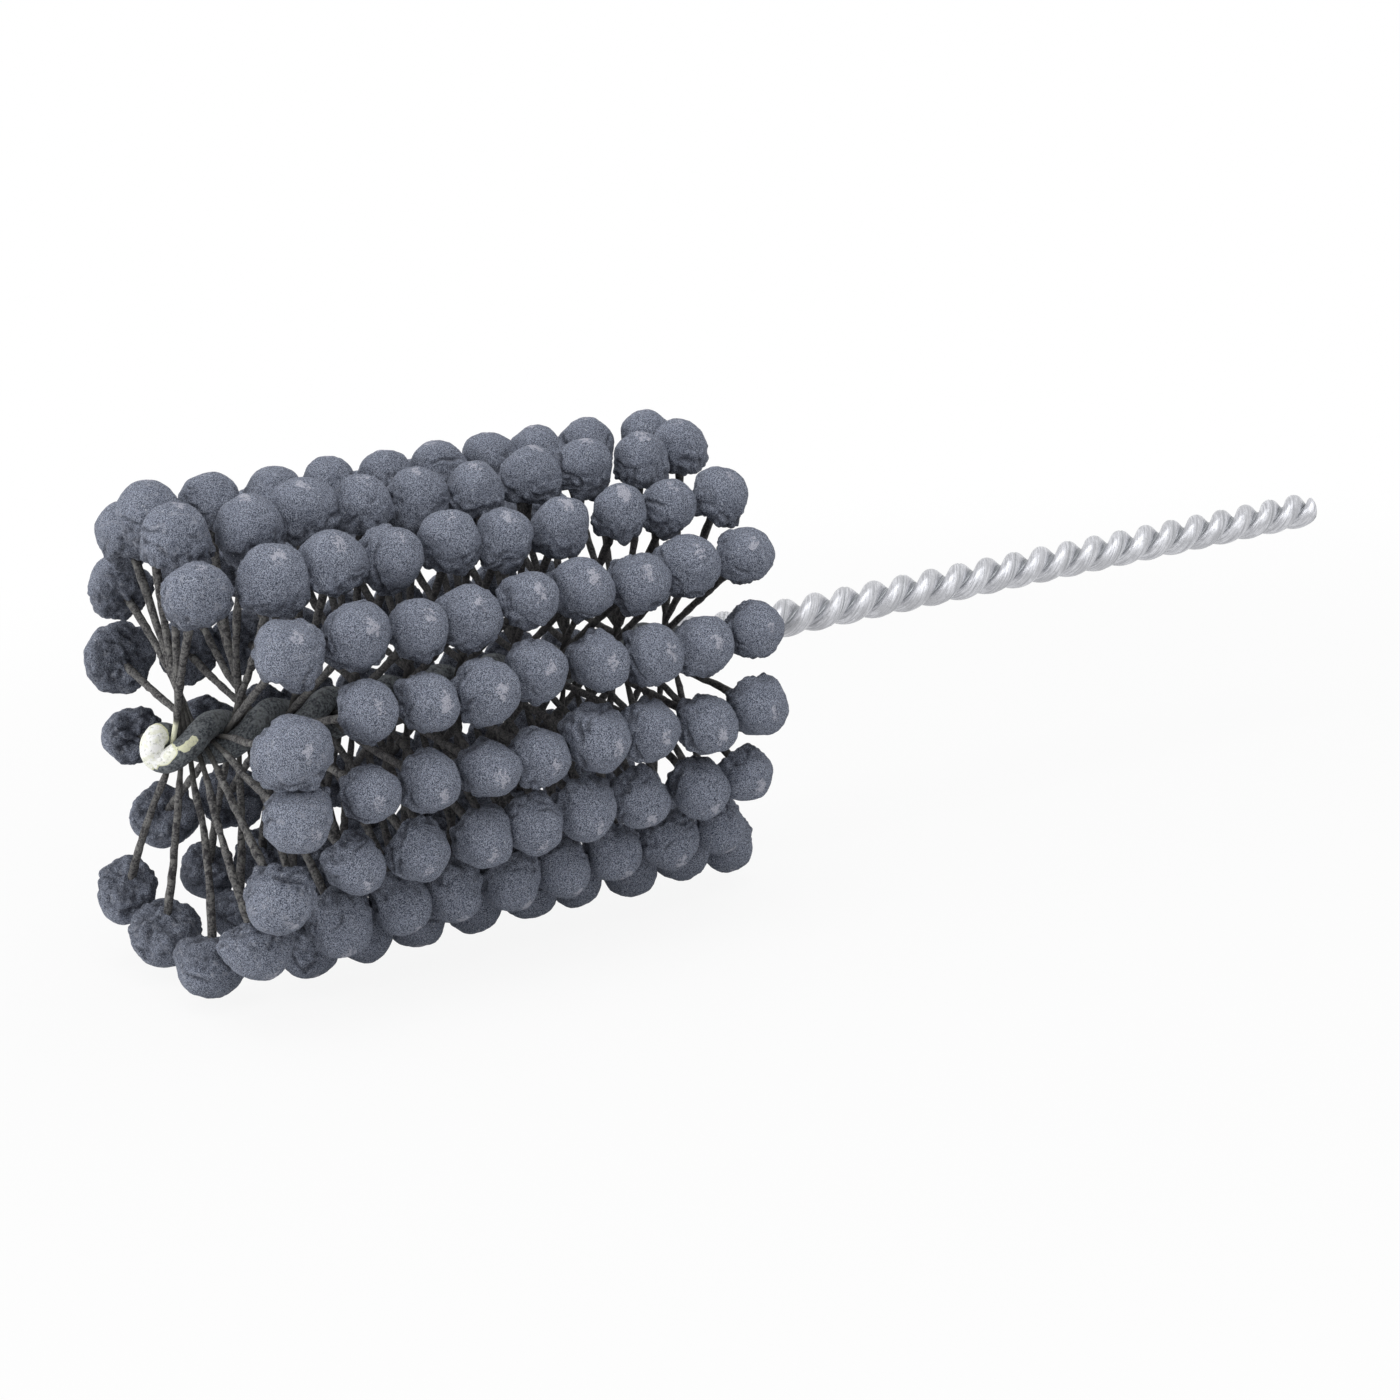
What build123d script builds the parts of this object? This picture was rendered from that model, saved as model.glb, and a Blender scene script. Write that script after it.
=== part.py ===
from build123d import *
import os
from math import acos, atan2, cos, hypot, radians, sin

# Flexible ball hone for finishing a bore of about 60 mm
# The tool axis lies along X, the cut end of the shank is at the origin and the brush is on the -X side
# Z is up when the hone lies on its brush; all sizes are in millimetres

# Stem: one wire folded in two and twisted left-handed
overall_length = 203.0
wire_diameter = 2.8
strand_gap = 0.06
bare_half_turn_length = 5.31
shank_bevel = 0.5

# Filaments: rods pinched between the two strands, one after another along the twist
filament_count = 75
filaments_per_half_turn = 8
filament_diameter = 0.7
bend_diameter = 0.76
pinch_clearance = 0.06
coat_diameter = 1.15
coat_start_radius = 5.5
coat_taper_length = 1.2

# Brush: the ends of the filaments carry globules in straight rows along the tool
ring_spacing = 8.13
globule_circle_radius = 29.7
tip_to_first_filament = 4.2
lowest_row_angle = 281.25

# The filaments lean a little back along the tool, so their globules lie nearer to the shank
brush_lean = 1.0

# The brush lies on its globules, so each row has settled round the tool by some degrees from its even place
row_settling = (3, 8, -9, -8, -7.5, -4.5, -2, 1.5, 4, 5, 1.5, 1.5, 0, 0, 1, 0.5)
tip_ring_settling = (3, 6, 0, -5, -2, -2, 2, 2.5, 4, 5, 1.5, 1.5, 0, 0, 1, 0.5)

# The ring at the tip leans out, most at the bottom
tip_ring_lean = 2.0
lean_swing = 1.2

# Globules: round crown outwards, and a skirt with a flat underside towards the stem
globule_diameter = 7.7
tip_globule_diameter = 8.4
skirt_taper = 0.4
underside_rise = 0.7
rim_rounding = 1.2
socket_clearance = 0.06

# Where the strands close up behind the last filament
run_out_before_closing = 3.3
closing_length = 1.6

# Derived sizes
wire_radius = wire_diameter / 2
row_count = 2 * filaments_per_half_turn
row_step = 360 / row_count
filament_spacing = ring_spacing / filaments_per_half_turn
first_filament_x = -overall_length + tip_to_first_filament
last_filament_x = first_filament_x + (filament_count - 1) * filament_spacing
open_strand_radius = wire_radius + filament_diameter / 2 + pinch_clearance
bare_strand_radius = wire_radius + strand_gap / 2
grip_radius = open_strand_radius + wire_radius
shank_radius = bare_strand_radius + wire_radius

# The twist turns back by one row from each filament to the next
half_turn = 180
first_row_angle = lowest_row_angle + row_step
open_turn_rate = half_turn / ring_spacing
bare_turn_rate = half_turn / bare_half_turn_length

# Places along the stem
loop_tip_x = -overall_length + wire_radius
open_start_x = loop_tip_x + open_strand_radius
closing_start_x = last_filament_x + run_out_before_closing
closing_end_x = closing_start_x + closing_length


def radial(angle, radius=1.0):
    """Vector square to the tool axis, at an angle that starts at +Y and grows towards +Z."""
    return Vector(0, radius * cos(radians(angle)), radius * sin(radians(angle)))


def row_angle(row):
    return first_row_angle - row * row_step


def filaments_of(row):
    """Numbers, from the tip, of the filaments that end in a row."""
    return range(row % filaments_per_half_turn, filament_count, filaments_per_half_turn)


def filament_x(number):
    return first_filament_x + number * filament_spacing


def in_tip_ring(number):
    return number < filaments_per_half_turn


def elbow_of(number, row):
    """Where a filament leaves the grip of the strands on the side of a row."""
    return Vector(filament_x(number), 0, 0) + radial(row_angle(row), grip_radius)


def globule_centre(number, row):
    """Centre of the globule that a filament carries in a row."""
    settling = tip_ring_settling if in_tip_ring(number) else row_settling
    angle = row_angle(row) + settling[row]
    tip_lean = tip_ring_lean - lean_swing * sin(radians(angle)) if in_tip_ring(number) else 0
    return Vector(filament_x(number) + brush_lean - tip_lean, 0, 0) + radial(angle, globule_circle_radius)


def strand_angle(x):
    """Angle of the first strand around the tool axis at a place along it."""
    open_length = min(x, closing_start_x) - first_filament_x
    closing = min(max(x - closing_start_x, 0), closing_length)
    bare_length = max(x - closing_end_x, 0)
    rate_change = (bare_turn_rate - open_turn_rate) / closing_length
    turned = open_turn_rate * (open_length + closing) + rate_change * closing**2 / 2
    return first_row_angle + half_turn / 2 - turned - bare_turn_rate * bare_length


def strand_point(x, radius, strand):
    return Vector(x, 0, 0) + radial(strand_angle(x) + half_turn * strand, radius)


def helix_leg(start_x, end_x, radius, half_turn_length, strand):
    """Left-handed helix about X that starts at the strand's place in the twist."""
    helix = Helix(
        2 * half_turn_length,
        end_x - start_x,
        radius,
        (start_x, 0, 0),
        (1, 0, 0),
        lefthand=True,
        mode=Mode.PRIVATE,
    )
    return helix.rotate(Axis.X, strand_angle(start_x) + half_turn * strand - half_turn / 2)


# Stem wire: two open legs that hold the filaments, two closed legs of bare shank, and the fold at the tip
shank_overrun = wire_diameter
with BuildPart() as stem_wire:
    leg_starts = []
    for strand in (0, 1):
        with BuildLine() as open_leg:
            add(helix_leg(open_start_x, closing_start_x, open_strand_radius, ring_spacing, strand))
        with BuildLine() as bare_leg:
            add(helix_leg(closing_end_x, shank_overrun, bare_strand_radius, bare_half_turn_length, strand))
        with BuildLine() as closing_leg:
            middle_x = closing_start_x + closing_length / 2
            middle_radius = (open_strand_radius + bare_strand_radius) / 2
            Spline(
                open_leg.line @ 1,
                strand_point(middle_x, middle_radius, strand),
                bare_leg.line @ 0,
                tangents=(open_leg.line % 1, bare_leg.line % 0),
            )
        for leg in (open_leg, closing_leg, bare_leg):
            with BuildSketch(Plane(origin=leg.line @ 0, z_dir=leg.line % 0)):
                Circle(wire_radius)
            sweep(path=leg.line)
        leg_starts.append((open_leg.line @ 0, open_leg.line % 0))
    with BuildLine() as fold:
        Spline(
            leg_starts[0][0],
            (loop_tip_x, 0, 0),
            leg_starts[1][0],
            tangents=(-leg_starts[0][1], leg_starts[1][1]),
        )
    with BuildSketch(Plane(origin=fold.line @ 0, z_dir=fold.line % 0)):
        Circle(wire_radius)
    sweep(path=fold.line)
    # The shank is cut square at the origin and its rim is ground to a bevel
    with BuildSketch(Plane.XZ):
        with BuildLine():
            Polyline(
                (0, 0),
                (0, shank_radius - shank_bevel),
                (-shank_bevel, shank_radius),
                (-shank_bevel, 2 * shank_radius),
                (2 * shank_overrun, 2 * shank_radius),
                (2 * shank_overrun, 0),
                close=True,
            )
        make_face()
    revolve(axis=Axis.X, mode=Mode.SUBTRACT)

stem_wire.part.label = "stem_wire"


def filament(number, row):
    """Filament that is bare where the strands pinch it and coated from there out to its two globules."""
    bare_radius = filament_diameter / 2
    coat_radius = coat_diameter / 2
    coat_start = coat_start_radius - grip_radius
    with BuildPart() as rod:
        with Locations(Plane(origin=(filament_x(number), 0, 0), z_dir=radial(row_angle(row)))):
            Cylinder(bare_radius, 2 * grip_radius)
        for end_row in (row, row + filaments_per_half_turn):
            elbow = elbow_of(number, end_row)
            arm = globule_centre(number, end_row) - elbow
            square_to_arm = Plane(origin=elbow, z_dir=arm)
            with Locations(elbow):
                Sphere(bend_diameter / 2)
            with BuildSketch(Plane(origin=elbow, x_dir=square_to_arm.x_dir, z_dir=-square_to_arm.y_dir)):
                with BuildLine():
                    Polyline(
                        (0, 0),
                        (bare_radius, 0),
                        (bare_radius, coat_start),
                        (coat_radius, coat_start + coat_taper_length),
                        (coat_radius, arm.length),
                        (0, arm.length),
                        close=True,
                    )
                make_face()
            revolve(axis=Axis(elbow, arm))
    return rod.part


def globule(diameter):
    """Dome round the origin, with a skirt towards -Z and a blind socket for the filament in its underside."""
    radius = diameter / 2
    underside_radius = radius - skirt_taper
    underside = -radius + underside_rise
    rim_angle = atan2(underside, underside_radius)
    touch_angle = rim_angle + acos(radius / hypot(underside, underside_radius))
    touch = (radius * cos(touch_angle), radius * sin(touch_angle))
    socket_radius = coat_diameter / 2 + socket_clearance
    with BuildPart() as ball:
        with BuildSketch(Plane.XZ):
            with BuildLine():
                ThreePointArc((0, radius), (radius, 0), touch)
                Polyline(
                    touch,
                    (underside_radius, underside),
                    (socket_radius, underside),
                    (socket_radius, socket_clearance),
                    (0, socket_clearance),
                    (0, radius),
                )
            make_face()
        revolve(axis=Axis.Z)
        rim = ball.edges().filter_by(GeomType.CIRCLE).group_by(Axis.Z)[0].sort_by(SortBy.RADIUS)[-1]
        fillet(rim, rim_rounding)
    return ball.part


ring_globule = globule(globule_diameter)
tip_globule = globule(tip_globule_diameter)

pieces = [stem_wire.part]

# Filaments: every eighth one lies in the same direction, and that set shares a node
for row in range(filaments_per_half_turn):
    with BuildPart() as filament_set:
        for number in filaments_of(row):
            add(filament(number, row))
    filament_set.part.label = f"filament_set_{row + 1}"
    pieces.append(filament_set.part)

# Globules: one row sits on the near ends of a filament set and the opposite row on its far ends
for row in range(row_count):
    with BuildPart() as globule_row:
        for number in filaments_of(row):
            centre = globule_centre(number, row)
            with Locations(Plane(origin=centre, z_dir=centre - elbow_of(number, row))):
                add(tip_globule if in_tip_ring(number) else ring_globule)
    globule_row.part.label = f"globule_row_{row + 1:02d}"
    pieces.append(globule_row.part)

os.makedirs("parts", exist_ok=True)
for piece in pieces:
    export_step(piece, f"parts/{piece.label}.step")
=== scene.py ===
# Flexible ball hone: detailed meshes and materials around the CAD model
# Shapes are worked out in millimetres and degrees, in the CAD model's frame, and stored in metres
import itertools
import math

import bmesh
import bpy
import numpy as np
from mathutils import Matrix, Vector


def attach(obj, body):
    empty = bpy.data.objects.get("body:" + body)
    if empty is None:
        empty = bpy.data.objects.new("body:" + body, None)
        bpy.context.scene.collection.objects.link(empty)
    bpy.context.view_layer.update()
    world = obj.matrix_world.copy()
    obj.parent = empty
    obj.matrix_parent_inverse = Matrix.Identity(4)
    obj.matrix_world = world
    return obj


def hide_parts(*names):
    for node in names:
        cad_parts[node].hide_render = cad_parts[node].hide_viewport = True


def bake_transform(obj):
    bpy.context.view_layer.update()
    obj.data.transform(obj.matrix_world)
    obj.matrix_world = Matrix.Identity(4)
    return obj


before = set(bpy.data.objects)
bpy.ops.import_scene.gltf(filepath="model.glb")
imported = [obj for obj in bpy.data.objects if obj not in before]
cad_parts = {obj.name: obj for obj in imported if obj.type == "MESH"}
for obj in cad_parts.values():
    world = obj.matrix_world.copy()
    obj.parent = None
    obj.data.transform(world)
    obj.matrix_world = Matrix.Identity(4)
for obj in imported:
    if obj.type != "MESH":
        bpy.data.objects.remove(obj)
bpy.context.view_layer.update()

MM = 0.001

# Driving sizes of the hone, as the CAD model has them
overall_length = 203.0
wire_diameter = 2.8
strand_gap = 0.06
bare_half_turn_length = 5.31
shank_bevel = 0.5
filament_count = 75
filaments_per_half_turn = 8
filament_diameter = 0.7
pinch_clearance = 0.06
ring_spacing = 8.13
globule_circle_radius = 29.7
tip_to_first_filament = 4.2
lowest_row_angle = 281.25
brush_lean = 1.0
tip_ring_lean = 2.0
lean_swing = 1.2
globule_diameter = 7.7
tip_globule_diameter = 8.4
run_out_before_closing = 3.3
closing_length = 1.6

# How far each row has settled round the tool from its even place, as the brush lies on its globules
row_settling = (3, 8, -9, -8, -7.5, -4.5, -2, 1.5, 4, 5, 1.5, 1.5, 0, 0, 1, 0.5)
tip_ring_settling = (3, 6, 0, -5, -2, -2, 2, 2.5, 4, 5, 1.5, 1.5, 0, 0, 1, 0.5)

# Sizes and places that follow from them
tool_axis = np.array([1.0, 0, 0])
wire_radius = wire_diameter / 2
open_strand_radius = wire_radius + filament_diameter / 2 + pinch_clearance
bare_strand_radius = wire_radius + strand_gap / 2
grip_radius = open_strand_radius + wire_radius
shank_radius = bare_strand_radius + wire_radius
filament_spacing = ring_spacing / filaments_per_half_turn
first_filament_x = -overall_length + tip_to_first_filament
last_filament_x = first_filament_x + (filament_count - 1) * filament_spacing
loop_tip_x = -overall_length + wire_radius
open_start_x = loop_tip_x + open_strand_radius
closing_start_x = last_filament_x + run_out_before_closing
closing_end_x = closing_start_x + closing_length
half_turn = 180
row_count = 2 * filaments_per_half_turn
row_step = 360 / row_count
first_row_angle = lowest_row_angle + row_step
open_turn_rate = half_turn / ring_spacing
bare_turn_rate = half_turn / bare_half_turn_length


def radial(angle):
    """Unit vector square to the tool axis, at an angle that starts at +Y and grows towards +Z."""
    return np.array([0.0, math.cos(math.radians(angle)), math.sin(math.radians(angle))])


def row_angle(row):
    return first_row_angle - row * row_step


def filaments_of(row):
    """Numbers, from the tip, of the filaments that end in a row."""
    return range(row % filaments_per_half_turn, filament_count, filaments_per_half_turn)


def filament_x(number):
    return first_filament_x + number * filament_spacing


def in_tip_ring(number):
    return number < filaments_per_half_turn


def globule_place(number, row):
    """Centre of the globule that a filament carries in a row, and its direction out from the tool axis."""
    settling = tip_ring_settling if in_tip_ring(number) else row_settling
    outward = radial(row_angle(row) + settling[row])
    tip_lean = tip_ring_lean - lean_swing * outward[2] if in_tip_ring(number) else 0
    middle = (filament_x(number) + brush_lean - tip_lean) * tool_axis
    return middle + outward * globule_circle_radius, outward


def smooth(start, end, value):
    """Smooth step from 0 at the start to 1 at the end, whichever of the two is larger."""
    t = np.clip((value - start) / (end - start), 0, 1)
    return t * t * (3 - 2 * t)


def unit(vectors):
    """One vector, or each row of an array of them, at length 1."""
    return vectors / np.linalg.norm(vectors, axis=-1, keepdims=True)


# Smooth noise for the shapes, the same in each run
noise_cells = 256
noise_gain = 1.6
noise_span = 90
noise_rng = np.random.default_rng(11)
noise_table = noise_rng.permutation(noise_cells)
noise_gradients = unit(noise_rng.normal(size=(noise_cells, 3)))


def noise(points):
    """Gradient noise, about -1 to 1, with one swell per unit of length."""
    cell = np.floor(points).astype(int)
    part = points - cell
    fade = part**3 * (part * (part * 6 - 15) + 10)
    total = np.zeros(len(points))
    for corner in itertools.product((0, 1), repeat=3):
        place = cell + corner
        index = 0
        for column in range(3):
            index = noise_table[(index + place[:, column]) % noise_cells]
        slope = ((part - corner) * noise_gradients[index]).sum(1)
        total += slope * np.where(corner, fade, 1 - fade).prod(1)
    return total * noise_gain


def new_mesh(name, points, faces, uvs, marks):
    """Smooth mesh object from points in millimetres, with a texture map and marks for its materials."""
    mesh = bpy.data.meshes.new(name)
    mesh.from_pydata((points * MM).tolist(), [], faces)
    layer = mesh.uv_layers.new(name="OFBake")
    layer.data.foreach_set("uv", np.asarray(uvs, np.float32).ravel())
    for key, values in marks.items():
        mesh.attributes.new(key, "FLOAT", "POINT").data.foreach_set("value", np.asarray(values, np.float32))
    mesh.shade_smooth()
    obj = bpy.data.objects.new(name, mesh)
    bpy.context.scene.collection.objects.link(obj)
    return obj


# Every face has its corners in this order, across and then up its patch or tube
face_corners = ((0, 0), (1, 0), (1, 1), (0, 1))

ball_cells = 28
ball_patches = 6


def unit_ball():
    """Points and faces of a ball of six square patches, and the patch and map place of each face corner."""
    steps = np.tan(np.linspace(-math.pi / 4, math.pi / 4, ball_cells + 1))
    index, points, faces, corners = {}, [], [], []
    for patch, (axis, sign) in enumerate(itertools.product(range(3), (-1, 1))):
        grid = np.zeros((ball_cells + 1, ball_cells + 1), int)
        for i, j in itertools.product(range(ball_cells + 1), repeat=2):
            point = np.zeros(3)
            point[axis] = sign
            point[(axis + 1) % 3] = steps[i] * sign
            point[(axis + 2) % 3] = steps[j]
            key = tuple(np.round(point, 6))
            if key not in index:
                index[key] = len(points)
                points.append(unit(point))
            grid[i, j] = index[key]
        for i, j in itertools.product(range(ball_cells), repeat=2):
            faces.append([grid[i + di, j + dj] for di, dj in face_corners])
            for di, dj in face_corners:
                corners.append((patch, (i + di) / ball_cells, (j + dj) / ball_cells))
    return np.array(points), np.array(faces), np.array(corners)


BALL, BALL_FACES, BALL_CORNERS = unit_ball()

# Texture map of a row of globules: a square grid of patches
map_columns = 8
patch_margin = 0.03


def balls(count):
    """Faces of several balls one after another, and the texture map place of each face corner."""
    patch, across, up = BALL_CORNERS.T
    faces, uvs = [], []
    for ball in range(count):
        faces.append(BALL_FACES + len(BALL) * ball)
        line, column = np.divmod(patch + ball_patches * ball, map_columns)
        u = column + patch_margin + across * (1 - 2 * patch_margin)
        v = line + patch_margin + up * (1 - 2 * patch_margin)
        uvs.append(np.stack([u, v], 1) / map_columns)
    return np.concatenate(faces).tolist(), np.concatenate(uvs)


# Texture map of tubes: upright strips side by side
end_margin = 0.01


def in_strip(strip, strips, across, up, margin):
    """Texture map places within a strip, with a margin beside it as a share of its width."""
    u = (strip + margin + across * (1 - 2 * margin)) / strips
    return np.stack([u, end_margin + up * (1 - 2 * end_margin)], 1)


def tube(steps, sides, first=0):
    """Faces of an open tube of rings, and how far round and along it each face corner lies."""
    faces, corners = [], []
    for i in range(steps):
        for j in range(sides):
            a, b = first + i * sides + j, first + i * sides + (j + 1) % sides
            faces.append([a, b, b + sides, a + sides])
            for du, dv in face_corners:
                corners.append(((j + du) / sides, (i + dv) / steps))
    return faces, np.array(corners)


# Form of a globule: what each one draws its own value from
skirt_depth = (0.72, 1.02)
skirt_squareness = (4.0, 10.0)
rim_widening = (-0.03, 0.14)
rim_limits = (-0.1, 0.15)
fold_counts = (1, 4)
fold_lean = (0.2, 0.9)
fold_level = (-0.65, 0.1)
fold_depth = (0.04, 0.1)
squash_spread = 0.035

# Heights and widths on a globule, as shares of its radius
skirt_swing = 0.24
rim_swing = 0.14
lump_height = 0.09
small_lump_height = 0.03
underside_lump_height = 0.035
lump_sink = 0.015
knob_height = 0.17
knob_level = 0.3
crumb_height = 0.068
small_crumb_height = 0.03
grain_height = 0.013
small_grain_height = 0.009
dent_swing = 0.1
dent_depth = 0.03
fold_width = 0.05
fold_wander = 0.22
swell_offset = 0.13
swell_width = 0.09
swell_share = 0.8

# How far a fold, or a dip between knobs or crumbs, has to sink in to take fully dark painted shade
dark_fold = 0.05
dark_knob_hollow = 0.1
dark_crumb_hollow = 0.06

# Keeps the formula of the skirt finite at the crown, where it isn't used
smallest_skirt = 1e-9


def globule(radius, rng):
    """Points of one globule about its own centre, with +Z outwards, and how much painted shade each gets from
    sinking into a fold or between knobs or crumbs.
    """
    height = BALL[:, 2]
    side = np.hypot(BALL[:, 0], BALL[:, 1])
    offset = rng.uniform(-noise_span, noise_span, 3)

    def swells(frequency, shift=0.0):
        return noise(BALL * frequency + offset + shift)

    # Smooth dome outwards; towards the stem a short skirt ends in an uneven rim and a nearly flat face
    round_about = np.stack([BALL[:, 0], BALL[:, 1], 0 * side], 1) / np.maximum(side, 0.05)[:, None]
    depth = rng.uniform(*skirt_depth) * (1 + noise(round_about * 1.1 + offset) * skirt_swing)
    power = rng.uniform(*skirt_squareness)
    widening = rng.uniform(*rim_widening) + noise(round_about * 1.3 + offset + 70) * rim_swing
    flare = 1 + np.clip(widening, *rim_limits) * smooth(0.35, -0.25, height)
    low = np.clip(-height, 0, 1)
    skirt = (side / flare) ** power + (low / depth) ** power
    reach = np.where(height < 0, np.maximum(skirt, smallest_skirt) ** (-1 / power), flare)

    # Lumps and grains all over, and knobs, crumbs and a dent on the side towards the stem
    under = smooth(0.2, -0.35, height + swells(1.6, 50) * 0.4)
    face = smooth(-0.55, -0.85, height)
    lumps = swells(1.0) * lump_height - lump_sink
    small_lumps = swells(2.4, 11) * (small_lump_height + underside_lump_height * under)
    knobs = (np.abs(swells(2.2, 7)) - knob_level) * knob_height * under
    crumbs = (swells(4.6, 3) * crumb_height + swells(9, 4) * small_crumb_height) * under
    grains = swells(6) * grain_height + swells(12) * small_grain_height
    dent = (swells(1.8, 60) * dent_swing - dent_depth) * face

    # Broken folds run round the globule, each with a swell on its side towards the stem
    folds = np.zeros(len(BALL))
    swollen = np.zeros(len(BALL))
    for _ in range(rng.integers(*fold_counts)):
        lean = rng.uniform(*fold_lean)
        tilt = unit(np.array([rng.normal(0, lean), rng.normal(0, lean), 1.0]))
        level = rng.uniform(*fold_level)
        wave = BALL @ tilt - level + swells(1.6, 37 * level) * fold_wander
        broken = smooth(-0.05, 0.3, swells(1.2, 30 + level)) * smooth(0.7, 0.2, height)
        deepest = broken * rng.uniform(*fold_depth)
        folds += np.exp(-((wave / fold_width) ** 2)) * deepest
        swollen += np.exp(-(((wave + swell_offset) / swell_width) ** 2)) * deepest * swell_share

    reach = reach + lumps + small_lumps + knobs + crumbs + grains + dent + swollen - folds
    points = BALL * reach[:, None] * radius
    points[:, :2] *= 1 + rng.normal(0, squash_spread, 2)
    # Painted shade, darkest where a fold sinks in and where the surface dips between knobs and crumbs
    crease_shade = np.clip(folds / dark_fold - knobs / dark_knob_hollow - crumbs / dark_crumb_hollow, 0, 1)
    return points, crease_shade


def turned(rng, amount):
    """Small random rotation as a matrix, in radians about each axis."""
    x, y, z = rng.normal(0, amount, 3)
    return np.array(Matrix.Rotation(x, 3, "X") @ Matrix.Rotation(y, 3, "Y") @ Matrix.Rotation(z, 3, "Z"))


# Globules that are clearly smaller or larger than their neighbours, by row and filament number
size_seen = {(8, 0): 0.87, (8, 8): 1.1, (8, 16): 1.11, (9, 9): 1.09, (9, 17): 1.07, (7, 23): 1.07}

# How much the globules differ in size, in place (along the tool, outwards and round the tool) and in lean
size_spread = 0.028
place_spread = np.array([0.3, 0.25, 0.45])
lean_spread = 0.18

# The painted sheen patch on the crown: how far off it lies, how narrow it is along the tool and how its size
# differs
sheen_spread = 0.1
sheen_narrowing = 0.6
sheen_size_spread = 0.014

# Pale flecks are thick on the globules of the tip ring and thin on the others
tip_ring_flecks = 1.0
other_flecks = 0.15


def placed_globule(number, row, rng):
    """Points and marks of the globule that a filament carries in a row, and its centre."""
    diameter = tip_globule_diameter if in_tip_ring(number) else globule_diameter
    radius = diameter / 2 * (1 + rng.normal(0, size_spread)) * size_seen.get((row, number), 1.0)
    even_centre, outward = globule_place(number, row)
    along, out, aside = rng.normal(0, 1, 3) * place_spread
    centre = even_centre + tool_axis * along + outward * out + np.cross(outward, tool_axis) * aside
    axis = unit(centre - filament_x(number) * tool_axis)
    cross = unit(np.cross(axis, tool_axis))
    upright = np.stack([np.cross(cross, axis), cross, axis])
    spin = np.array(Matrix.Rotation(rng.uniform(0, 2 * math.pi), 3, "Z"))
    shape, crease_shade = globule(radius, rng)
    shape = shape @ spin.T @ turned(rng, lean_spread).T @ upright
    away = unit(shape)
    place_in_row = number // filaments_per_half_turn
    uneven = noise(shape * 0.5 + place_in_row * 9.0) * 0.25
    sheen_centre = unit(outward + rng.normal(0, sheen_spread, 3))
    narrowing = sheen_narrowing * (away[:, 0] - sheen_centre[0]) ** 2
    # Marks for the material: painted shade in creases and on the side towards the stem, a painted sheen patch
    # round the crown, and how thick the pale flecks lie
    marks = {
        "crease_shade": crease_shade,
        "under": smooth(0.05, -0.6, away @ axis + uneven),
        "crown": away @ sheen_centre - narrowing - rng.normal(0.0, sheen_size_spread),
        "flecked": np.full(len(BALL), tip_ring_flecks if in_tip_ring(number) else other_flecks),
    }
    return centre + shape, marks, centre


# Filaments as meshes: each arm is one half of a filament, from the middle of the stem to its globule
arm_sides = 10
arm_steps = 34
grip_steps = 4
arm_rings = arm_steps + 1
arm_margin = 0.05
bow_spread = 0.4

# The coat starts and then thickens over these distances from the tool axis, with lumps of two sizes
coat_starts = (4.6, 6.4)
thin_coat = 0.14
thick_coat_extra = 0.1
coat_thickens = (12, 27)
coat_lump_height = 0.11
small_coat_lump_height = 0.07

# The first filament is rubbed pale close to the wire, at these distances from the tool axis
pale_near_wire = (5.0, 4.2)

# Filaments get more painted shade the further into the brush they lie from the tip, between these two numbers
# from there
shade_darkens_over = (5, 26)


def arm(number, row, centre, rng):
    """Points and marks of a filament's arm in a row.

    It leaves the grip of the strands along the row's even direction and then turns towards its globule.
    """
    direction = radial(row_angle(row))
    elbow = filament_x(number) * tool_axis + direction * grip_radius
    length = np.linalg.norm(centre - elbow)
    way = unit(centre - elbow)
    side = unit(np.cross(way, tool_axis))
    other = np.cross(way, side)
    bow = rng.normal(0, bow_spread, 2)
    seed = rng.uniform(-noise_span, noise_span, 3)

    # Where its rings lie: inside runs from -1 at the tool axis to 0 at the elbow, outside from there to 1
    outside = np.concatenate([np.zeros(grip_steps), np.linspace(0, 1, arm_rings - grip_steps + 1)[1:]])
    inside = np.concatenate([np.linspace(-1, 0, grip_steps + 1)[:-1], np.zeros(arm_rings - grip_steps)])
    bowed = 4 * outside * (1 - outside) * smooth(0.02, 0.3, outside)
    line = elbow + np.outer(outside * length, way) + np.outer(inside * grip_radius, direction)
    line += np.outer(bowed, side * bow[0] + other * bow[1])
    reach = outside * length + grip_radius * (1 + inside)

    coat = smooth(*coat_starts, reach + noise(line * 0.8) * 0.5)
    thick = filament_diameter / 2 + coat * (thin_coat + thick_coat_extra * smooth(*coat_thickens, reach))
    angles = np.linspace(0, 2 * math.pi, arm_sides, endpoint=False)
    ring = np.outer(np.cos(angles), side) + np.outer(np.sin(angles), other)
    points = (line[:, None, :] + thick[:, None, None] * ring[None, :, :]).reshape(-1, 3)
    lumps = noise(points * 0.75 + seed) * coat_lump_height
    small_lumps = noise(points * 2.1 + seed) * small_coat_lump_height
    raised = (lumps + small_lumps) * np.repeat(coat, arm_sides)
    points += np.tile(ring, (arm_rings, 1)) * raised[:, None]

    reach = np.repeat(reach, arm_sides)
    # Marks for the material: bare nylon near the wire, the pale base of the first filament, and painted shade
    # far into the brush
    marks = {
        "bare": np.repeat(1 - coat, arm_sides),
        "pale": smooth(*pale_near_wire, reach) if number == 0 else np.zeros(len(reach)),
        "deep_shade": np.full(len(reach), smooth(*shade_darkens_over, number)),
    }
    return points, marks


def arms(count):
    """Faces of several arms one after another, and the texture map place of each face corner."""
    faces, uvs = [], []
    for strip in range(count):
        arm_faces, corners = tube(arm_steps, arm_sides, arm_rings * arm_sides * strip)
        faces += arm_faces
        uvs.append(in_strip(strip, count, corners[:, 0], corners[:, 1], arm_margin))
    return faces, np.concatenate(uvs)


def add_node(tree, kind, **settings):
    node = tree.nodes.new(kind)
    for key, value in settings.items():
        setattr(node, key, value)
    return node


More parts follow.
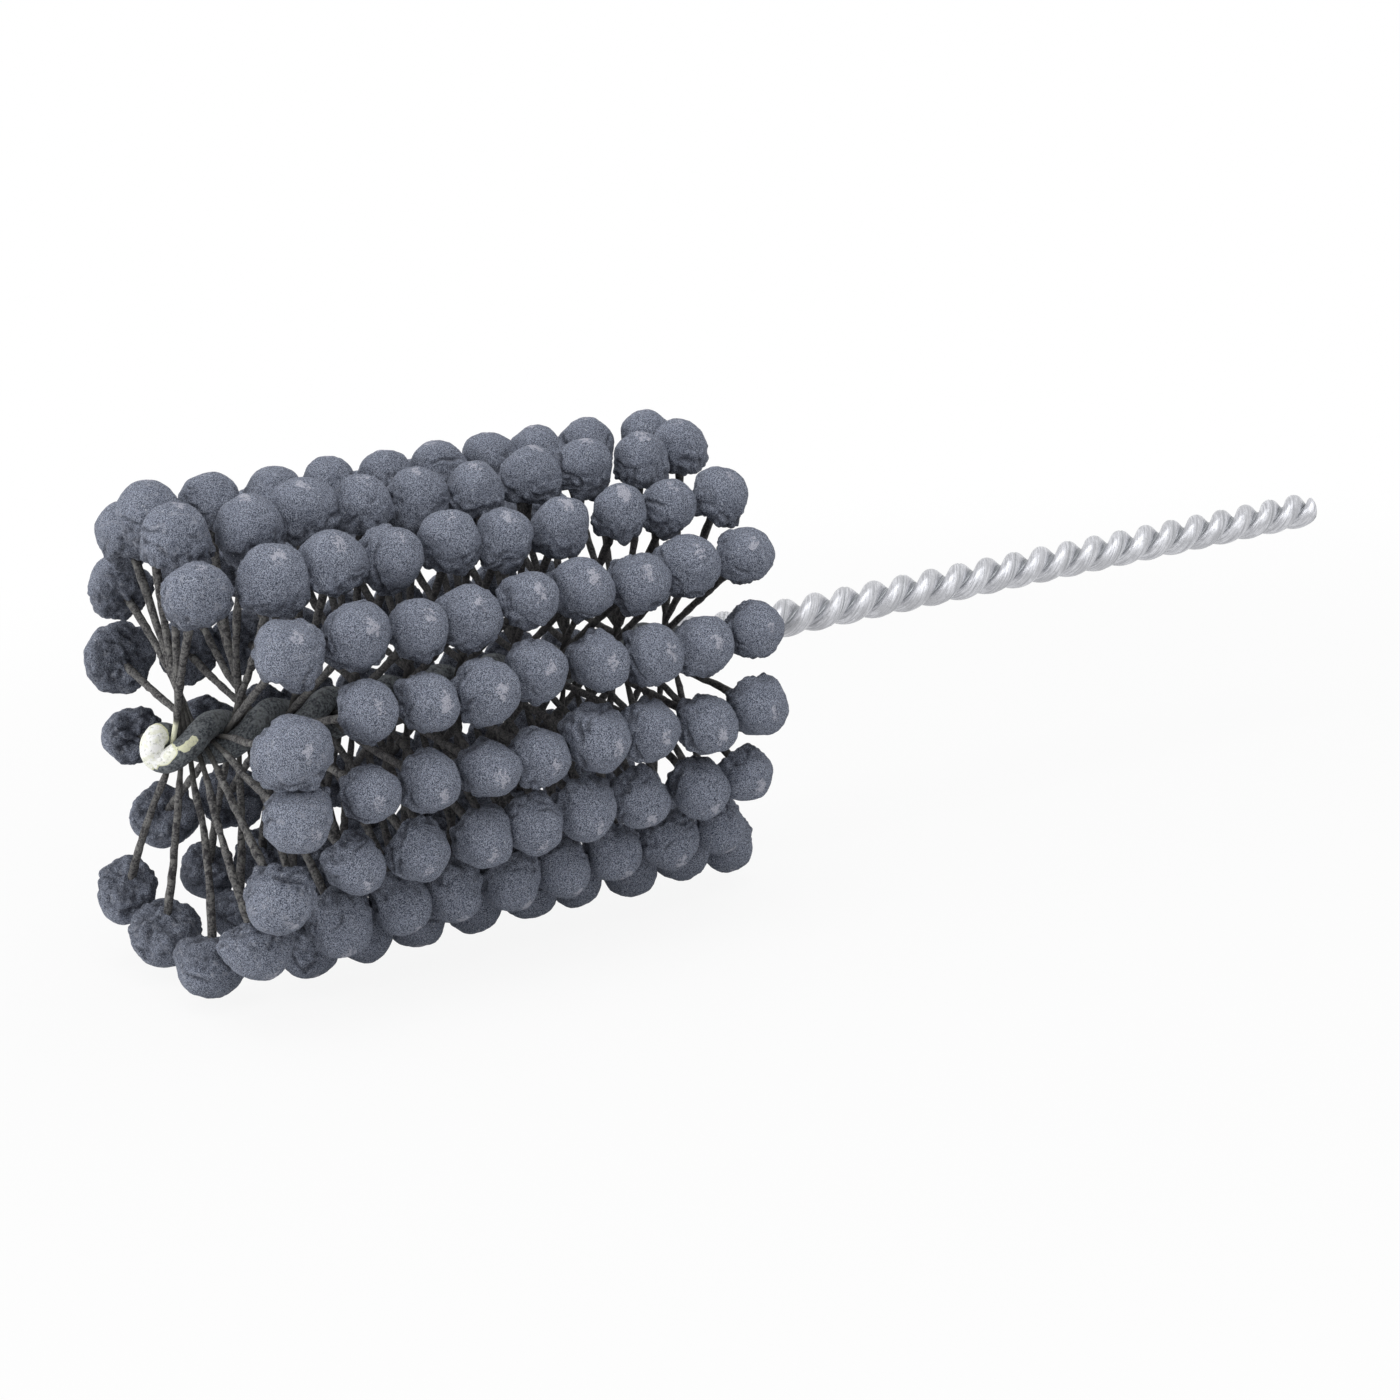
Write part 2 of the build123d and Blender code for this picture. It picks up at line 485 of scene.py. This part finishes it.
class Nodes:
    """Short calls for building a material's node tree."""

    def __init__(self, name):
        self.material = bpy.data.materials.new(name)
        self.material.use_nodes = True
        self.tree = self.material.node_tree
        self.shader = self.tree.nodes["Principled BSDF"]
        self.place = self.add("ShaderNodeTexCoord").outputs["Object"]

    def add(self, kind, **settings):
        return add_node(self.tree, kind, **settings)

    def link(self, source, target):
        """Link a socket to another, or set a number or colour on it."""
        if isinstance(source, (int, float, tuple)):
            target.default_value = source
        else:
            self.tree.links.new(source, target)

    def noise(self, scale, detail, roughness, place=None):
        node = self.add("ShaderNodeTexNoise")
        node.inputs["Scale"].default_value = scale
        node.inputs["Detail"].default_value = detail
        node.inputs["Roughness"].default_value = roughness
        self.link(place or self.place, node.inputs["Vector"])
        return node.outputs["Fac"]

    def ranged(self, value, low, high, to_low=0.0, to_high=1.0, kind="SMOOTHSTEP"):
        node = self.add("ShaderNodeMapRange", interpolation_type=kind)
        self.link(value, node.inputs["Value"])
        for key, number in (("From Min", low), ("From Max", high), ("To Min", to_low), ("To Max", to_high)):
            node.inputs[key].default_value = number
        return node.outputs["Result"]

    def maths(self, operation, a, b):
        node = self.add("ShaderNodeMath", operation=operation)
        self.link(a, node.inputs[0])
        self.link(b, node.inputs[1])
        return node.outputs[0]

    def mark(self, name):
        """Values that the mesh carries for each point."""
        return self.add("ShaderNodeAttribute", attribute_name=name).outputs["Fac"]

    def mix(self, share, a, b):
        node = self.add("ShaderNodeMix", data_type="RGBA")
        self.link(share, node.inputs["Factor"])
        self.link(a, node.inputs[6])
        self.link(b, node.inputs[7])
        return node.outputs[2]

    def tinted(self, colour, mask, amount, other):
        """Colour moved towards another one by a mask times an amount."""
        return self.mix(self.maths("MULTIPLY", mask, amount), colour, other)

    def blotched(self, colour, texture, low, high, amount, other):
        """Colour moved towards another one by up to an amount, as a texture rises from low to high."""
        return self.mix(self.ranged(texture, low, high, 0.0, amount), colour, other)

    def bump(self, height, strength, distance, normal=None):
        node = self.add("ShaderNodeBump")
        node.inputs["Strength"].default_value = strength
        node.inputs["Distance"].default_value = distance
        self.link(height, node.inputs["Height"])
        if normal is not None:
            self.link(normal, node.inputs["Normal"])
        return node.outputs["Normal"]

    def set(self, **sockets):
        for key, value in sockets.items():
            self.link(value, self.shader.inputs[key.replace("_", " ")])


def linear(value):
    """Linear share of light from a 0 to 255 value that a picture shows."""
    share = value / 255
    return share / 12.92 if share <= 0.04045 else ((share + 0.055) / 1.055) ** 2.4


def tone(red, green, blue):
    """Colour from the 0 to 255 values that a picture shows."""
    return (linear(red), linear(green), linear(blue), 1.0)


def abrasive_material():
    """Grey abrasive grain: fine speckle, painted shade in creases and on the underside, painted sheen patch
    on the crown.
    """
    n = Nodes("abrasive_globule")
    grit = n.noise(6800, 3.0, 0.7)
    clumps = n.noise(620, 3.0, 0.55)
    colour = n.mix(n.ranged(grit, 0.37, 0.63), tone(45, 51, 65), tone(163, 169, 184))
    colour = n.blotched(colour, clumps, 0.38, 0.7, 0.25, tone(104, 110, 126))
    pits = n.ranged(n.noise(2400, 2.0, 0.6), 0.3, 0.46, 1.0, 0.0)
    colour = n.tinted(colour, pits, 0.4, tone(57, 62, 74))
    # Painted shade on the side of each globule towards the stem, down in the crevice between the rows
    colour = n.tinted(colour, n.mark("under"), 0.3, tone(78, 81, 90))
    # Painted shade in the folds and in the dips between knobs and crumbs
    colour = n.tinted(colour, n.mark("crease_shade"), 0.62, tone(42, 44, 52))
    flecks = n.ranged(n.noise(1000, 4.0, 0.7), 0.57, 0.64, 0.0, 0.6)
    colour = n.tinted(colour, flecks, n.mark("flecked"), tone(152, 155, 165))
    specks = n.ranged(n.noise(3600, 1.0, 0.5), 0.72, 0.77)
    colour = n.tinted(colour, specks, 0.8, tone(196, 200, 208))
    # Painted sheen: a pale patch round the crown of each globule, where a highlight falls
    ragged = n.maths("MULTIPLY", n.noise(1300, 5.0, 0.75), 0.5)
    patch = n.ranged(n.maths("ADD", n.mark("crown"), ragged), 1.212, 1.24)
    colour = n.tinted(colour, patch, n.ranged(grit, 0.35, 0.55, 0.35, 0.9), tone(182, 183, 195))
    craggy = n.maths("MULTIPLY", n.noise(800, 4.0, 0.65), n.mark("under"))
    relief = n.bump(grit, 0.6, 0.00014)
    relief = n.bump(n.noise(1500, 4.0, 0.65), 0.75, 0.00045, relief)
    relief = n.bump(craggy, 0.8, 0.0009, relief)
    n.set(Base_Color=colour, Roughness=0.9, Specular_IOR_Level=0.25, Normal=relief)
    return n.material


def filament_material():
    """Thin abrasive coat over the filaments, their bare nylon near the stem, and painted shade on the
    filaments far into the brush.
    """
    n = Nodes("coated_filament")
    grit = n.noise(3600, 4.0, 0.65)
    blotches = n.noise(700, 3.0, 0.6)
    colour = n.mix(n.ranged(grit, 0.36, 0.64), tone(50, 49, 51), tone(114, 113, 112))
    colour = n.blotched(colour, blotches, 0.52, 0.66, 0.55, tone(138, 137, 134))
    colour = n.blotched(colour, n.noise(1300, 2.0, 0.5), 0.55, 0.64, 0.8, tone(36, 34, 38))
    colour = n.tinted(colour, n.mark("bare"), 0.7, tone(60, 59, 56))
    # Painted shade on the filaments that lie far into the brush from the tip
    colour = n.tinted(colour, n.mark("deep_shade"), 0.5, tone(42, 41, 44))
    colour = n.tinted(colour, n.mark("pale"), 0.95, tone(238, 238, 212))
    relief = n.bump(grit, 0.5, 0.00012)
    relief = n.bump(blotches, 0.6, 0.0003, relief)
    n.set(Base_Color=colour, Roughness=0.82, Specular_IOR_Level=0.3, Normal=relief)
    return n.material


def wire_coat_material():
    """Coated wire inside the brush, rubbed down to a pale crust at the fold."""
    n = Nodes("coated_wire")
    grit = n.noise(3200, 4.0, 0.65)
    blotches = n.noise(420, 3.0, 0.6)
    colour = n.mix(n.ranged(grit, 0.36, 0.64), tone(60, 64, 69), tone(122, 127, 131))
    colour = n.blotched(colour, blotches, 0.48, 0.62, 0.5, tone(132, 136, 138))
    colour = n.blotched(colour, n.noise(1200, 2.0, 0.5), 0.56, 0.66, 0.6, tone(48, 48, 52))
    crust = n.mix(n.ranged(n.noise(900, 3.0, 0.6), 0.4, 0.56), tone(240, 241, 226), tone(255, 255, 253))
    crust = n.mix(n.ranged(n.mark("worn"), 0.72, 0.92, 1.0, 0.0), crust, tone(226, 226, 194))
    crust = n.blotched(crust, n.noise(3000, 3.0, 0.6), 0.54, 0.66, 0.5, tone(156, 157, 148))
    ragged = n.maths("MULTIPLY", n.maths("SUBTRACT", n.noise(1100, 3.0, 0.6), 0.5), 0.6)
    edge = n.maths("ADD", n.mark("worn"), ragged)
    colour = n.mix(n.ranged(edge, 0.42, 0.52), colour, crust)
    relief = n.bump(grit, 0.5, 0.00015)
    relief = n.bump(blotches, 0.5, 0.0004, relief)
    n.set(Base_Color=colour, Roughness=0.8, Specular_IOR_Level=0.3, Normal=relief)
    return n.material


def steel_material():
    """Galvanised wire: drawn streaks along each strand, cloudy zinc, and painted shade where the strands meet
    and in the drawn groove.
    """
    n = Nodes("galvanised_wire")
    on_wire = n.add("ShaderNodeCombineXYZ")
    n.link(n.maths("MULTIPLY", n.mark("along"), 0.06), on_wire.inputs["X"])
    n.link(n.mark("around_x"), on_wire.inputs["Y"])
    n.link(n.mark("around_y"), on_wire.inputs["Z"])
    streaks = n.noise(7.0, 4.0, 0.6, on_wire.outputs[0])
    clouds = n.noise(380, 3.0, 0.6)
    colour = n.mix(n.ranged(streaks, 0.36, 0.64), tone(172, 173, 178), tone(222, 223, 228))
    colour = n.blotched(colour, clouds, 0.46, 0.62, 0.6, tone(182, 183, 187))
    colour = n.blotched(colour, n.noise(2600, 3.0, 0.65), 0.54, 0.66, 0.35, tone(150, 151, 156))
    # Painted shade where the strands meet and along the drawn groove
    colour = n.tinted(colour, n.mark("valley_shade"), 0.6, tone(116, 122, 125))
    roughness = n.ranged(n.noise(900, 3.0, 0.6), 0.3, 0.7, 0.24, 0.4, "LINEAR")
    relief = n.bump(streaks, 0.25, 0.00012)
    relief = n.bump(clouds, 0.25, 0.0002, relief)
    n.set(Base_Color=colour, Metallic=0.6, Roughness=roughness, Normal=relief)
    return n.material


abrasive = abrasive_material()
filament_coat = filament_material()
wire_coat = wire_coat_material()
steel = steel_material()

# Rows of globules on their arms, each row with a seed of its own
row_seed = 400


def gathered(marks):
    """Marks of the pieces of a row, one after another, by name."""
    return {key: np.concatenate([each[key] for each in marks]) for key in marks[0]}


for row in range(row_count):
    rng = np.random.default_rng(row_seed + row)
    numbers = filaments_of(row)
    globule_points, globule_marks, arm_points, arm_marks = [], [], [], []
    for number in numbers:
        points, marks, centre = placed_globule(number, row, rng)
        globule_points.append(points)
        globule_marks.append(marks)
        points, marks = arm(number, row, centre, rng)
        arm_points.append(points)
        arm_marks.append(marks)

    label = f"{row + 1:02d}"
    body = f"row_{label}"
    faces, uvs = balls(len(numbers))
    points, marks = np.concatenate(globule_points), gathered(globule_marks)
    globules = new_mesh(f"globules_{label}", points, faces, uvs, marks)
    globules.data.materials.append(abrasive)
    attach(globules, body)
    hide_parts(f"globule_row_{label}")

    faces, uvs = arms(len(numbers))
    points, marks = np.concatenate(arm_points), gathered(arm_marks)
    filaments = new_mesh(f"filaments_{label}", points, faces, uvs, marks)
    filaments.data.materials.append(filament_coat)
    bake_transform(filaments)
    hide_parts(f"filament_set_{row % filaments_per_half_turn + 1}")


# Stem: one wire from the cut end to the fold at the tip and back
wire_step = 0.36
wire_sides = 24
bend_steps = 8
overrun = 2.6
stem_strips = 12
stem_margin = 0.04

# A drawn groove runs along the second strand, at an angle round the wire from its outermost line
groove_angle = math.radians(16)
groove_depth = 0.13
groove_width = math.radians(7)

# Zinc fills the bottom of the valleys between the bare strands, as far as this radius round the tool axis
zinc_radius = 1.18
zinc_search_radius = 2.6
zinc_search_step = 0.01

# Each strand carries the zinc of its own half of the turn, and a degree more so that the halves meet
strand_share_angle = half_turn / 2 + 1

# Near the cut end the zinc fades out between these places along the tool
zinc_fades = (-0.4, -2.0)

# The coat of the brush ends raggedly behind the last filament, and is thin at the fold
coat_past_last_filament = 1.5
coat_end_swing = 1.5
coat_end_length = 1.2
fold_coat = 0.12
wire_coat_extra = 0.2
wire_coat_thickens = (1.0, 5.0)
wire_lump_height = 0.12
small_wire_lump_height = 0.05
wire_unevenness = 0.025


def strand_angle(x):
    """Angle of the first strand around the tool axis at places along it."""
    open_length = np.minimum(x, closing_start_x) - first_filament_x
    closing = np.clip(x - closing_start_x, 0, closing_length)
    bare_length = np.maximum(x - closing_end_x, 0)
    rate_change = (bare_turn_rate - open_turn_rate) / closing_length
    turned_open = open_turn_rate * (open_length + closing) + rate_change * closing**2 / 2
    return first_row_angle + half_turn / 2 - turned_open - bare_turn_rate * bare_length


def strand_line(strand):
    """Centre line of one strand from the fold's tip to past the cut end."""
    bend = np.linspace(0, math.pi / 2, bend_steps + 1)[:-1]
    x = np.concatenate([
        open_start_x - open_strand_radius * np.cos(bend),
        np.arange(open_start_x, overrun, wire_step),
    ])
    closed = smooth(closing_start_x, closing_end_x, x)
    spread = open_strand_radius + (bare_strand_radius - open_strand_radius) * closed
    spread[:bend_steps] = open_strand_radius * np.sin(bend)
    angle = np.radians(strand_angle(x) + half_turn * strand)
    return np.stack([x, spread * np.cos(angle), spread * np.sin(angle)], 1)


def filled_reach(spoke):
    """How far a bare strand with its half of the zinc reaches, at an angle round its centre line."""
    lead = math.atan(math.radians(bare_turn_rate) * bare_strand_radius)
    reach = np.arange(wire_radius, zinc_search_radius, zinc_search_step)
    up = bare_strand_radius + reach * math.cos(spoke)
    aside = reach * math.sin(spoke)
    turned_off = np.degrees(np.arctan2(aside * math.cos(lead), up)) + bare_turn_rate * aside * math.sin(lead)
    in_zinc = np.hypot(up, aside * math.cos(lead)) < zinc_radius
    return reach[np.argmin(in_zinc & (np.abs(turned_off) < strand_share_angle))]


def wrapped(angle):
    """The same angle in radians, from half a turn back to half a turn on."""
    return (angle + math.pi) % (2 * math.pi) - math.pi


def fold_wear(from_tip, round_wire, lower):
    """Where the crust is worn pale: round the front of the fold, and in a streak along the lower strand.

    The places are in millimetres along the wire from the fold's tip, and in degrees round it.
    """
    upper_wear = smooth(3.0, 2.0, from_tip)
    lower_edge = 95 * smooth(2.4, 0.8, from_tip) - 52
    lower_wear = smooth(5.1, 4.6, from_tip) * smooth(10, -10, round_wire - lower_edge)
    streak_off = np.abs(round_wire + 45 - (from_tip - 5.0) * 16.5)
    streak = 0.75 * smooth(28, 14, streak_off) * smooth(4.95, 5.25, from_tip) * smooth(7.4, 6.9, from_tip)
    return np.where(lower, np.maximum(lower_wear, streak), upper_wear)


def wire_spokes():
    """Angles round the wire of its section's points, with more at the groove and the edge of the zinc."""
    even = np.linspace(0, 2 * math.pi, wire_sides, endpoint=False)
    at_groove = groove_angle + groove_width * np.array([-1.1, -0.5, 0, 0.5, 1.1])
    at_zinc = np.radians([112, 117, 121, 125])
    return np.unique(np.round(np.mod(np.concatenate([even, at_groove, at_zinc, -at_zinc]), 2 * math.pi), 4))


def stem_wire():
    """The whole wire as a tube whose two ends run past the place where they are cut."""
    first_strand, second_strand = strand_line(0), strand_line(1)
    line = np.concatenate([first_strand[::-1], second_strand[1:]])
    strand = np.concatenate([np.zeros(len(first_strand)), np.ones(len(second_strand) - 1)])
    x = line[:, 0]
    tangents = unit(np.gradient(line, axis=0))
    outer = np.stack([np.minimum(x - open_start_x, 0), line[:, 1], line[:, 2]], 1)
    outer = unit(outer - (outer * tangents).sum(1)[:, None] * tangents)
    across = np.cross(tangents, outer)
    travel = np.concatenate([[0], np.cumsum(np.linalg.norm(np.diff(line, axis=0), axis=1))])

    # Section with its zinc on the bare stretch
    spokes = wire_spokes()
    sides = len(spokes)
    coat_end = last_filament_x + coat_past_last_filament
    coat_edge = coat_end + noise(np.stack([x * 0, strand * 9, travel * 0.3], 1)) * coat_end_swing
    coated = smooth(coat_end_length / 2, -coat_end_length / 2, x - coat_edge)
    normals = np.cos(spokes)[:, None] * outer[:, None, :] + np.sin(spokes)[:, None] * across[:, None, :]
    filling = smooth(closing_start_x, closing_end_x, x) * smooth(*zinc_fades, x) * (1 - coated)
    zinc = np.array([filled_reach(spoke) for spoke in spokes]) - wire_radius
    reach = wire_radius + filling[:, None] * zinc[None, :]
    points = (line[:, None, :] + normals * reach[:, :, None]).reshape(-1, 3)
    normals = normals.reshape(-1, 3)

    # Lumpy coat in the brush, drawn groove on the bare stretch
    coat = np.repeat(coated, sides)
    on_second = np.repeat(strand, sides)
    from_tip = np.repeat(np.abs(travel - travel[len(first_strand) - 1]), sides)
    round_wire = np.tile(spokes, len(line))
    thickness = fold_coat + wire_coat_extra * smooth(*wire_coat_thickens, from_tip)
    lumps = noise(points * 0.55) * wire_lump_height + noise(points * 1.6 + 5) * small_wire_lump_height
    groove = np.exp(-((wrapped(round_wire - groove_angle) / groove_width) ** 2)) * on_second * (1 - coat)
    uneven = noise(points * 0.35 + 40) * wire_unevenness
    points = points + normals * (coat * (thickness + lumps) - groove * groove_depth + uneven)[:, None]

    # In the texture map the wire's length is cut into strips side by side, each face whole in one of them
    faces, corners = tube(len(line) - 1, sides)
    along = corners[:, 1] * stem_strips
    strip = np.floor(along - 1e-9).clip(0, stem_strips - 1)
    strip = np.repeat(strip.reshape(-1, 4).min(1), 4)
    uvs = in_strip(strip, stem_strips, corners[:, 0], (along - strip).clip(0, 1), stem_margin)
    marks = {
        "along": np.repeat(travel, sides),
        "around_x": np.cos(round_wire),
        "around_y": np.sin(round_wire),
        # Painted shade on the inner side of each strand, where it meets the other, and in the groove
        "valley_shade": np.maximum(smooth(-0.2, -0.6, np.cos(round_wire)), groove * 0.7),
        "worn": fold_wear(from_tip, np.degrees(wrapped(round_wire)), on_second > 0.5),
    }
    wire = new_mesh("twisted_wire_stem", points, faces, uvs, marks)
    wire.data.materials.append(steel)
    wire.data.materials.append(wire_coat)
    face_coat = coated[np.array(faces)[:, 0] // sides]
    wire.data.polygons.foreach_set("material_index", (face_coat > 0.5).astype(np.int32))
    return wire


def cut_square(wire):
    """Cut the two strands square at the origin, close them and grind their rim to a bevel."""
    mesh = bmesh.new()
    mesh.from_mesh(wire.data)
    whole = mesh.verts[:] + mesh.edges[:] + mesh.faces[:]
    cut = bmesh.ops.bisect_plane(mesh, geom=whole, plane_co=(0, 0, 0), plane_no=(1, 0, 0), clear_outer=True)
    rim = [edge for edge in cut["geom_cut"] if isinstance(edge, bmesh.types.BMEdge)]
    bmesh.ops.holes_fill(mesh, edges=rim, sides=0)
    for vert in mesh.verts:
        limit = (shank_radius - max(0, vert.co.x / MM + shank_bevel)) * MM
        distance = math.hypot(vert.co.y, vert.co.z)
        if vert.co.x > -shank_bevel * MM and distance > limit:
            vert.co.y *= limit / distance
            vert.co.z *= limit / distance
    mesh.to_mesh(wire.data)
    mesh.free()


stem = stem_wire()
cut_square(stem)
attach(stem, "stem")
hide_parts("stem_wire")

# Floor and light, in metres
floor_size = 12
floor_middle_x = -0.1
floor_colour = (0.72, 0.72, 0.72, 1)
white = (1, 1, 1, 1)
shadow_share = 0.1
shadow_fades = (0.12, 0.3)
world_light = 0.66


def background_seen(tree):
    """Socket that is 1 for what the camera or a reflection sees, and 0 for light on the object."""
    rays = add_node(tree, "ShaderNodeLightPath")
    seen = add_node(tree, "ShaderNodeMath", operation="MAXIMUM")
    tree.links.new(rays.outputs["Is Camera Ray"], seen.inputs[0])
    tree.links.new(rays.outputs["Is Glossy Ray"], seen.inputs[1])
    return seen.outputs[0]


def floor_material():
    """White as seen, with a faint shadow near the object, and pale grey for the light that it returns."""
    material = bpy.data.materials.new("white_floor")
    material.use_nodes = True
    tree = material.node_tree
    tree.nodes.clear()
    place = add_node(tree, "ShaderNodeTexCoord")
    distance = add_node(tree, "ShaderNodeVectorMath", operation="LENGTH")
    fade = add_node(tree, "ShaderNodeMapRange", interpolation_type="SMOOTHSTEP")
    fade.inputs["From Min"].default_value = shadow_fades[0]
    fade.inputs["From Max"].default_value = shadow_fades[1]
    fade.inputs["To Min"].default_value = 1 - shadow_share
    fade.inputs["To Max"].default_value = 1.0
    share = add_node(tree, "ShaderNodeMath", operation="MULTIPLY")
    diffuse = add_node(tree, "ShaderNodeBsdfDiffuse")
    diffuse.inputs["Color"].default_value = floor_colour
    glow = add_node(tree, "ShaderNodeEmission")
    glow.inputs["Color"].default_value = white
    glow.inputs["Strength"].default_value = 1.0
    blend = add_node(tree, "ShaderNodeMixShader")
    output = add_node(tree, "ShaderNodeOutputMaterial")
    tree.links.new(place.outputs["Object"], distance.inputs[0])
    tree.links.new(distance.outputs["Value"], fade.inputs["Value"])
    tree.links.new(background_seen(tree), share.inputs[0])
    tree.links.new(fade.outputs["Result"], share.inputs[1])
    tree.links.new(share.outputs[0], blend.inputs["Fac"])
    tree.links.new(diffuse.outputs[0], blend.inputs[1])
    tree.links.new(glow.outputs[0], blend.inputs[2])
    tree.links.new(blend.outputs[0], output.inputs["Surface"])
    return material


def studio_world():
    """Soft even light, with a white background as seen."""
    world = bpy.data.worlds.new("studio")
    world.use_nodes = True
    tree = world.node_tree
    level = add_node(tree, "ShaderNodeMapRange")
    level.inputs["To Min"].default_value = world_light
    level.inputs["To Max"].default_value = 1.0
    shade = tree.nodes["Background"]
    shade.inputs["Color"].default_value = white
    tree.links.new(background_seen(tree), level.inputs["Value"])
    tree.links.new(level.outputs["Result"], shade.inputs["Strength"])
    return world


scene = bpy.context.scene
scene.world = studio_world()

floor_z = -(globule_circle_radius + tip_globule_diameter / 2) * MM
bpy.ops.mesh.primitive_plane_add(size=floor_size, location=(floor_middle_x, 0, floor_z))
floor = bpy.context.object
floor.name = "floor"
floor.data.materials.append(floor_material())

brush_middle = Vector((-0.16, 0, 0))


def lamp(name, place, size, power):
    """Round soft lamp that points at the brush."""
    data = bpy.data.lights.new(name, "AREA")
    data.shape = "DISK"
    data.size = size
    data.energy = power
    obj = bpy.data.objects.new(name, data)
    scene.collection.objects.link(obj)
    obj.location = place
    obj.rotation_euler = (brush_middle - Vector(place)).to_track_quat("-Z", "Y").to_euler()


lamp("top", (-0.25, -0.2, 1.1), 0.9, 4.0)
lamp("key", (-0.15, -0.85, 0.7), 0.7, 1.3)
lamp("side", (-0.95, 0.1, 0.12), 0.7, 4.0)

# Camera at the photograph's angle
camera_azimuth = math.radians(30.81)
camera_drop = math.radians(14.30)
camera_roll = math.radians(-4.15)
camera_place = Vector((-313.66, -326.01, 87.34)) * MM
focal_length_in_pixels = 2711.6
photograph_width = 1400
sensor_width = 36

look = Vector((
    math.sin(camera_azimuth) * math.cos(camera_drop),
    math.cos(camera_azimuth) * math.cos(camera_drop),
    -math.sin(camera_drop),
))
level_right = Vector((math.cos(camera_azimuth), -math.sin(camera_azimuth), 0))
level_up = level_right.cross(look)
right = level_right * math.cos(camera_roll) + level_up * math.sin(camera_roll)
up = level_up * math.cos(camera_roll) - level_right * math.sin(camera_roll)
camera = bpy.data.cameras.new("camera")
camera.sensor_width = sensor_width
camera.lens = sensor_width * focal_length_in_pixels / photograph_width
camera.clip_start = 0.01
camera.clip_end = 50
viewer = bpy.data.objects.new("camera", camera)
scene.collection.objects.link(viewer)
viewer.matrix_world = Matrix.Translation(camera_place) @ Matrix((right, up, -look)).transposed().to_4x4()
scene.camera = viewer
scene.view_settings.view_transform = "Standard"
